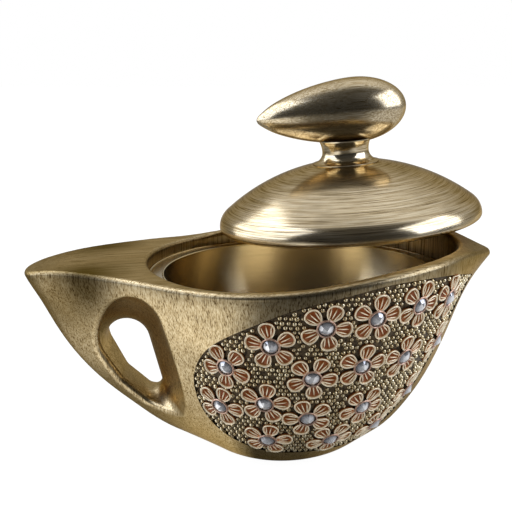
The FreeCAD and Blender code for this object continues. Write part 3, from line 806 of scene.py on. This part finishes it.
@dataclass
class Flower:
    """Cast flower in millimetres: petals with double raised edges and ribs round a stone's ring."""

    petals: int = 5
    petal_centre: float = 7.3
    petal_length: float = 3.9
    petal_width: float = 4.35
    petal_taper: float = 0.38
    petal_sides: int = 24
    wall_height: float = 1.2
    edge_height: float = 1.5
    dish_height: float = 0.6
    edge_steps: Tuple[Tuple[float, float], ...] = ((0.12, 0.30), (0.16, 0.0), (0.12, -0.4), (0.1, 0.0),
                                                   (0.08, 0.2), (0.1, 0.0), (0.14, -0.4), (0.15, -0.3))
    rib_length: float = 3.1
    rib_width: float = 0.34
    rib_height: float = 0.9
    rib_turns: Tuple[float, ...] = (-14.0, 0.0, 14.0)
    rib_centre: float = 6.9
    ring_radius: float = 3.85
    ring_thickness: float = 0.42
    ring_height: float = 1.6
    collar_height: float = 1.05

    def petal(self, shape: bmesh.types.BMesh) -> List[bmesh.types.BMVert]:
        """Builds one petal along +X.

        Args:
            shape: Bmesh that gets it.

        Returns:
            Its vertices.
        """
        before = set(shape.verts)
        disc = bmesh.ops.create_circle(shape, cap_ends=True, radius=1.0, segments=self.petal_sides)
        for vert in disc["verts"]:
            narrow = 1 - self.petal_taper * (1 - vert.co.x) / 2
            vert.co.x = self.petal_centre + self.petal_length * vert.co.x
            vert.co.y *= self.petal_width * narrow
        cap = list(disc["verts"][0].link_faces)
        shape.normal_update()
        if cap[0].normal.z < 0:
            bmesh.ops.reverse_faces(shape, faces=cap)
        raised = bmesh.ops.extrude_face_region(shape, geom=cap)
        tops = [item for item in raised["geom"] if isinstance(item, bmesh.types.BMFace)]
        risen = [item for item in raised["geom"] if isinstance(item, bmesh.types.BMVert)]
        bmesh.ops.translate(shape, verts=risen, vec=(0, 0, self.wall_height))
        for thickness, depth in self.edge_steps:
            bmesh.ops.inset_region(shape, faces=tops, thickness=thickness, depth=depth,
                                   use_boundary=True, use_even_offset=True)
        return [vert for vert in shape.verts if vert not in before]

    def ribs(self, shape: bmesh.types.BMesh) -> List[bmesh.types.BMVert]:
        """Builds the ribs of the petal along +X.

        Args:
            shape: Bmesh that gets them.

        Returns:
            Their vertices.
        """
        made = []
        for turn in self.rib_turns:
            size = Matrix.Diagonal((self.rib_length, self.rib_width, self.rib_height, 1.0))
            place = Matrix.Translation((self.rib_centre, 0, self.dish_height))
            swing = Matrix.Rotation(math.radians(turn), 4, "Z")
            lie = swing @ place @ size @ Matrix.Rotation(math.pi / 2, 4, "Y")
            ball = bmesh.ops.create_uvsphere(shape, u_segments=8, v_segments=6, radius=1.0, matrix=lie)
            made += ball["verts"]
        return made

    def ring(self, shape: bmesh.types.BMesh) -> None:
        """Adds the ring that holds the stone and the dark collar under it.

        Args:
            shape: Bmesh that gets it.
        """
        place = Matrix.Translation((self.ring_radius, 0, self.ring_height))
        section = bmesh.ops.create_circle(shape, cap_ends=False, radius=self.ring_thickness, segments=8,
                                          matrix=place @ Matrix.Rotation(math.pi / 2, 4, "X"))
        edges = list({edge for vert in section["verts"] for edge in vert.link_edges})
        before = set(shape.faces)
        bmesh.ops.spin(shape, geom=section["verts"] + edges, cent=(0, 0, 0), axis=(0, 0, 1),
                       angle=2 * math.pi, steps=24, use_merge=True)
        fresh = [face for face in shape.faces if face not in before]
        bmesh.ops.recalc_face_normals(shape, faces=fresh)
        for face in fresh:
            face.material_index = 1
        collar = bmesh.ops.create_cone(shape, cap_ends=True, segments=24, radius1=self.ring_radius,
                                       radius2=self.ring_radius, depth=self.collar_height,
                                       matrix=Matrix.Translation((0, 0, self.collar_height / 2)))
        for face in {face for vert in collar["verts"] for face in vert.link_faces}:
            face.material_index = 2

    def build(self) -> bmesh.types.BMesh:
        """Builds the whole flower on the XY plane.

        Returns:
            Bmesh with the layer raised, which is 0 in the hollows and 1 on the raised edges, and
            the layer reach, which is 0 at the stone's centre and 1 at the petals' tips.
        """
        shape = bmesh.new()
        for number in range(self.petals):
            verts = self.petal(shape) + self.ribs(shape)
            bmesh.ops.rotate(shape, verts=verts, cent=(0, 0, 0),
                             matrix=Matrix.Rotation(2 * math.pi * number / self.petals, 3, "Z"))
        layer = shape.verts.layers.float.new("raised")
        for vert in shape.verts:
            vert[layer] = (vert.co.z - self.dish_height) / (self.edge_height - self.dish_height)
        reach = shape.verts.layers.float.new("reach")
        for vert in shape.verts:
            vert[reach] = vert.co.xy.length / (self.petal_centre + self.petal_length)
        self.ring(shape)
        return shape


@dataclass
class Stone:
    """Cut stone in millimetres with two rows of facets and a point, lying on the floor of its ring."""

    radius: float = 3.2
    base: float = 1.1
    girdle: float = 0.3
    crown_radius: float = 1.9
    crown_slope: float = 40.0
    top_slope: float = 25.0
    tip_radius: float = 0.16
    sides: int = 16

    def build(self, frame: Matrix) -> bmesh.types.BMesh:
        """Builds one stone as the hull of its girdle, crown and tip points.

        Args:
            frame: Matrix of its flower.

        Returns:
            Bmesh of the stone in its place.
        """
        shape = bmesh.new()
        shoulder = self.base + self.girdle
        crown = shoulder + (self.radius - self.crown_radius) * math.tan(math.radians(self.crown_slope))
        point = crown + self.crown_radius * math.tan(math.radians(self.top_slope))
        levels = ((self.radius, self.base, self.sides, 0.0),
                  (self.radius, shoulder, self.sides, 0.0),
                  (self.crown_radius, crown, self.sides // 2, 0.5),
                  (self.tip_radius, point, self.sides // 2, 0.0))
        verts = []
        for radius, z, sides, share in levels:
            turn = Matrix.Rotation(2 * math.pi * share / sides, 4, "Z")
            ring = bmesh.ops.create_circle(shape, radius=radius * MM, segments=sides,
                                           matrix=frame @ Matrix.Translation((0, 0, z * MM)) @ turn)
            verts += ring["verts"]
        hull = bmesh.ops.convex_hull(shape, input=verts)
        spare = [item for item in hull["geom_interior"] if isinstance(item, bmesh.types.BMVert)]
        bmesh.ops.delete(shape, geom=spare, context="VERTS")
        return shape


@dataclass
class FlankPanel:
    """Beaded ground, flowers and stones of one flank."""

    side: Side
    nodes: Dict[str, bpy.types.Object]
    finishes: Dict[str, bpy.types.Material]
    bead_mm: float = 1.12
    bead_spacing_mm: float = 2.4
    bead_sizes: Tuple[float, float] = (0.74, 1.08)
    bead_lift: float = 0.1
    bead_batch: int = 40
    row_step: float = 0.84
    row_shake: float = 0.1
    nearest: float = 0.9
    border_mm: float = 1.0
    outside_mm: float = 200.0
    probe_mm: float = 2.0
    drop_mm: float = 6.0
    drop_reach_mm: float = 14.0
    flower_reach_mm: float = 11.1
    flower_notch_mm: float = 7.4
    flower_far_mm: float = 13.0
    darts: int = 9000
    seed: int = 5
    seats: List[Seat] = field(default_factory=list)

    @property
    def word(self) -> str:
        """Name of the flank in node names."""
        return self.side.name.lower()

    def ground_tree(self) -> BVHTree:
        """Search tree of the ground plate's faces."""
        return BVHTree.FromObject(self.nodes[self.word + "_panel"], bpy.context.evaluated_depsgraph_get())

    def flower_nodes(self) -> List[str]:
        """Names of this flank's flower nodes."""
        return sorted(name for name in self.nodes if name.startswith("flower_" + self.word))

    def find_seat(self, name: str) -> Seat:
        """Works out where a CAD flower lies.

        Args:
            name: Name of its node.

        Returns:
            Its seat.
        """
        shape = bmesh.new()
        shape.from_mesh(self.nodes[name].data)
        area = sum(face.calc_area() for face in shape.faces)
        centre = sum((face.calc_center_median() * face.calc_area() for face in shape.faces), Vector()) / area
        outward = Vector((0, self.side.value, 0))
        flat: Dict[Tuple[float, ...], float] = {}
        for face in shape.faces:
            key = tuple(round(c, 3) for c in face.normal)
            if face.normal.dot(outward) > 0.05:
                flat[key] = flat.get(key, 0.0) + face.calc_area()
        normal = Vector(max(flat, key=flat.get)).normalized()
        low = min((vert.co - centre).dot(normal) for vert in shape.verts)
        centre = centre + normal * low
        reach = [(vert.co - centre) - normal * (vert.co - centre).dot(normal) for vert in shape.verts]
        petal = max(reach, key=lambda arm: arm.length).normalized()
        shape.free()
        return Seat(centre, normal, petal)

    def drape(self, shape: bmesh.types.BMesh, seat: Seat, ground: BVHTree) -> None:
        """Lays a flower on the curved ground.

        Args:
            shape: Flower in millimetres on the XY plane, moved to its place here.
            seat: Place on the flank.
            ground: Search tree of the ground.
        """
        frame = seat.frame()
        for vert in shape.verts:
            flat = frame @ Vector((vert.co.x * MM, vert.co.y * MM, 0))
            above = flat + seat.normal * self.drop_mm * MM
            hit = ground.ray_cast(above, -seat.normal, self.drop_reach_mm * MM)[0]
            vert.co = (hit or flat) + seat.normal * vert.co.z * MM

    def build_flowers(self, ground: BVHTree) -> None:
        """Replaces every CAD flower by a cast one in the same place.

        Args:
            ground: Search tree of the ground.
        """
        for name in self.flower_nodes():
            seat = self.find_seat(name)
            self.seats.append(seat)
            shape = Flower().build()
            self.drape(shape, seat, ground)
            piece = mesh_object(name + "_cast", shape,
                                [self.finishes[key] for key in ("enamel", "ring", "ground")])
            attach(piece, "box")
            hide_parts(name)

    def build_stones(self) -> None:
        """Replaces the CAD stones by cut ones."""
        stones = bmesh.new()
        stone = Stone()
        for seat in self.seats:
            gather(stones, stone.build(seat.frame()))
        bmesh.ops.recalc_face_normals(stones, faces=stones.faces)
        reach = stones.verts.layers.float.new("reach")
        for vert in stones.verts:
            seat = min(self.seats, key=lambda other: (vert.co - other.centre).length)
            vert[reach] = (seat.frame().inverted() @ vert.co).xy.length / (stone.radius * MM)
        cut = mesh_object("stones_" + self.word, stones, [self.finishes["glass"]], smooth=False)
        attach(cut, "box")
        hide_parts("crystals_" + self.word)

    def on_ground(self, ground: BVHTree, x: float, z: float) -> Optional[Tuple[Vector, Vector]]:
        """Finds bare ground for a bead.

        Args:
            ground: Search tree of the ground.
            x: Place along the hull in metres.
            z: Height in metres.

        Returns:
            Point and outward normal, or nothing where no bead fits.
        """
        sign = self.side.value
        start = Vector((x, sign * self.outside_mm * MM, z))
        point, normal, _index, _far = ground.ray_cast(start, Vector((0, -sign, 0)))
        if point is None or normal.y * sign < 0.05 or self.covered(point):
            return None
        side = normal.cross(Vector((0, 0, 1))).normalized()
        up = side.cross(normal)
        for arm in (side, -side, up, -up):
            probe = point + arm * self.border_mm * MM + normal * self.probe_mm * MM
            if ground.ray_cast(probe, -normal, 2 * self.probe_mm * MM)[0] is None:
                return None
        return point, normal

    def covered(self, point: Vector) -> bool:
        """Whether a flower lies over a point.

        Args:
            point: Point on the ground.

        Returns:
            True where a flower of this flank covers it.
        """
        half = math.pi / Flower.petals
        for seat in self.seats:
            if (point - seat.centre).length > self.flower_far_mm * MM:
                continue
            local = seat.frame().inverted() @ point
            off = abs((math.atan2(local.y, local.x) + half) % (2 * half) - half) / half
            reach = self.flower_reach_mm + (self.flower_notch_mm - self.flower_reach_mm) * off ** 2
            if math.hypot(local.x, local.y) < reach * MM:
                return True
        return False

    def bead_places(self, ground: BVHTree) -> List[Tuple[Vector, Vector]]:
        """Sets beads in loose rows over the bare ground, then fills the gaps between them.

        Args:
            ground: Search tree of the ground.

        Returns:
            Point and outward normal of each bead.
        """
        low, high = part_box(self.word + "_panel")
        chance = random.Random(self.seed)
        spacing = self.bead_spacing_mm * MM
        sites: List[Tuple[float, float]] = []
        row = 0
        z = low[2]
        while z < high[2]:
            x = low[0] + (row % 2) * spacing / 2
            while x < high[0]:
                along = chance.uniform(-self.row_shake, self.row_shake) * spacing
                up = chance.uniform(-self.row_shake, self.row_shake) * spacing
                sites.append((x + along, z + up))
                x += spacing
            row += 1
            z += spacing * self.row_step
        for _dart in range(self.darts):
            sites.append((chance.uniform(low[0], high[0]), chance.uniform(low[2], high[2])))
        taken: List[Tuple[Vector, Vector]] = []
        cells: Dict[Tuple[int, ...], List[Vector]] = {}
        for x, z in sites:
            spot = self.on_ground(ground, x, z)
            if spot is None:
                continue
            key = tuple(int(math.floor(c / spacing)) for c in spot[0])
            near = (other for dx in (-1, 0, 1) for dy in (-1, 0, 1) for dz in (-1, 0, 1)
                    for other in cells.get((key[0] + dx, key[1] + dy, key[2] + dz), ()))
            if any((other - spot[0]).length < self.nearest * spacing for other in near):
                continue
            cells.setdefault(key, []).append(spot[0])
            taken.append(spot)
        return taken

    def build_beads(self, ground: BVHTree) -> None:
        """Adds the gold beads of the ground.

        Args:
            ground: Search tree of the ground.
        """
        chance = random.Random(self.seed + 1)
        shape = bmesh.new()
        places = self.bead_places(ground)
        for start in range(0, len(places), self.bead_batch):
            batch = bmesh.new()
            for point, normal in places[start:start + self.bead_batch]:
                radius = self.bead_mm * chance.uniform(*self.bead_sizes) * MM
                frame = normal.to_track_quat("Z", "Y").to_matrix().to_4x4()
                frame.translation = point + normal * radius * self.bead_lift
                bmesh.ops.create_uvsphere(batch, u_segments=8, v_segments=6, radius=radius, matrix=frame)
            gather(shape, batch)
        piece = mesh_object("beads_" + self.word, shape, [self.finishes["bead"]])
        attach(piece, "box")
        LOG.info("%s flank: %d beads", self.word, len(places))

    def build(self) -> None:
        """Makes the flank's pieces."""
        dress(self.nodes[self.word + "_panel"], self.finishes["ground"])
        ground = self.ground_tree()
        self.build_flowers(ground)
        self.build_stones()
        self.build_beads(ground)


@dataclass
class Hull:
    """Hull, cup with its rolled edges, and felt pad."""

    nodes: Dict[str, bpy.types.Object]
    finishes: Dict[str, bpy.types.Material]
    mouth_mm: float = 65.3
    edge_mm: float = 0.5
    edge_steps: int = 120

    def build_edges(self) -> None:
        """Adds the rolled edges of the cup's flange, at its mouth and at its rim."""
        low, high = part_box("inner_cup")
        flange = (high[0] - low[0]) / 2 - self.edge_mm * MM
        centre = Vector(((low[0] + high[0]) / 2, (low[1] + high[1]) / 2, high[2]))
        shape = bmesh.new()
        for radius in (self.mouth_mm * MM, flange):
            place = Matrix.Translation(centre + Vector((radius, 0, 0))) @ Matrix.Rotation(math.pi / 2, 4, "X")
            section = bmesh.ops.create_circle(shape, radius=self.edge_mm * MM, segments=8, matrix=place)
            edges = list({edge for vert in section["verts"] for edge in vert.link_edges})
            bmesh.ops.spin(shape, geom=section["verts"] + edges, cent=centre, axis=(0, 0, 1),
                           angle=2 * math.pi, steps=self.edge_steps, use_merge=True)
        bmesh.ops.recalc_face_normals(shape, faces=shape.faces)
        piece = mesh_object("cup_edges", shape, [self.finishes["edge"]])
        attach(piece, "box")

    def build(self) -> None:
        """Dresses the CAD pieces of the hull."""
        self.build_edges()
        dress(self.nodes["bowl_body"], self.finishes["hull"])
        dress(self.nodes["inner_cup"], self.finishes["cup"])
        dress(self.nodes["base_pad"], self.finishes["felt"])


@dataclass
class Lid:
    """Lid with its neck, knob and hidden fasteners."""

    nodes: Dict[str, bpy.types.Object]
    finishes: Dict[str, bpy.types.Material]

    def build(self) -> None:
        """Dresses the CAD pieces of the lid."""
        for name, finish in (("lid_dome", "lid"), ("lid_base_disc", "lid"), ("knob_neck", "neck"),
                             ("knob", "knob"), ("knob_screw", "steel"), ("knob_washer", "steel")):
            dress(self.nodes[name], self.finishes[finish])


# Foot of the lid's axis in the box's frame, and the tilt of the resting lid.
LID_ORIGIN_MM = (38.0, 49.3, 98.0)
LID_TILT = math.radians(4.5)
# Painted dark reflections on the tail beside the finger hole, on both flanks.
HULL_PAINTED_DARK_SPOTS = (PaintedDarkSpot((-88.0, -31.0, 86.0), 24.0, 0.2), PaintedDarkSpot((-88.0, 31.0, 86.0), 24.0, 0.2),
               PaintedDarkSpot((-102.0, -19.0, 74.0), 26.0, 0.62), PaintedDarkSpot((-102.0, 19.0, 74.0), 26.0, 0.62))


def make_finishes(rim: RimLine) -> Dict[str, bpy.types.Material]:
    """Makes every material of the box.

    Args:
        rim: Line of the hull's rim, for the wear along it.

    Returns:
        Materials by short name.
    """
    return {
        # Cast resin under antique gold, wire-brushed down the flanks: dark lines in a satin sheen, with
        # painted dark reflections on the tail and painted shade under the rim.
        "hull": BrushedGold("brushed_gold_hull", Grain.FLANK, gold="#C8B083", pale="#EAD8B0",
                            painted_dark_spots=HULL_PAINTED_DARK_SPOTS, rim=rim).build(),
        # The same coat brushed round while it turned: ring lines, and highlights drawn across them.
        "lid": BrushedGold("brushed_gold_lid", Grain.TURNED, origin_mm=LID_ORIGIN_MM, tilt=LID_TILT,
                           roughness=0.19, line_mm=0.28, line_length_mm=16.0, drawn=0.4).build(),
        # The same coat brushed from tip to end: a soft mirror with faint long lines.
        "knob": BrushedGold("brushed_gold_knob", Grain.LENGTHWISE, origin_mm=LID_ORIGIN_MM, tilt=LID_TILT,
                            roughness=0.22, line_mm=0.28, line_length_mm=16.0, umber="#7E6844").build(),
        # The same coat polished in the waist: nearly a mirror.
        "neck": BrushedGold("polished_gold_neck", Grain.TURNED, origin_mm=LID_ORIGIN_MM, tilt=LID_TILT,
                            roughness=0.16, line_length_mm=24.0, umber="#9C8660", patch_left=0.9).build(),
        # Spun and lacquered brass: smooth, with soft upright streaks of light.
        "cup": SatinBrass("satin_brass_cup").build(),
        # Rolled and polished brass: a thin bright line round the cup.
        "edge": SatinBrass("polished_brass_edge", brass="#F2E2B4", shade="#D8C28C", roughness=0.22).build(),
        # Cast ground with a bronze wash: dull and dark, so that the beads stand out.
        "ground": SpeckledFinish("dark_bronze_ground", "#62523A", "#2C2216", 1.4, 0.5, 0.6, 0.1).build(),
        # Gilded cast beads: a small bright spot on each.
        "bead": SpeckledFinish("gold_bead", "#FCEECA", "#D6BE8E", 2.4, 0.26, 0.95).build(),
        # Enamel wiped off the cast petals' edges: rust hollows between cream lines.
        "enamel": PetalEnamel("rust_petal_enamel").build(),
        # Copper-washed casting: a thin rosy line round each stone.
        "ring": SpeckledFinish("copper_ring", "#E2C0AC", "#B48A70", 0.8, 0.3, 0.8).build(),
        # Cut glass on foil: a painted highlight at the point, painted shade at the girdle, and sharp facets.
        "glass": StoneGlass("cut_glass").build(),
        # Pressed wool felt: matt and nearly black.
        "felt": SpeckledFinish("black_felt", "#221D1A", "#0E0B0A", 0.5, 0.95, 0.0, 0.15).build(),
        # Zinc-plated steel: plain grey and half bright.
        "steel": SpeckledFinish("zinc_plated_steel", "#B8BABD", "#8C8F93", 0.8, 0.35, 1.0).build(),
    }


def main() -> None:
    """Builds the dressed box in the studio."""
    logging.basicConfig(level=logging.INFO)
    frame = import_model()
    nodes = frame["nodes"]
    finishes = make_finishes(RimLine.measure(nodes["bowl_body"], 24))
    Studio().build()
    Hull(nodes, finishes).build()
    for side in Side:
        FlankPanel(side, nodes, finishes).build()
    Lid(nodes, finishes).build()
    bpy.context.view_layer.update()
    for piece in bpy.context.scene.objects:
        if piece.type == "MESH":
            LOG.info("%s: %d faces", piece.name, len(piece.data.polygons))


if __name__ == "__main__":
    main()
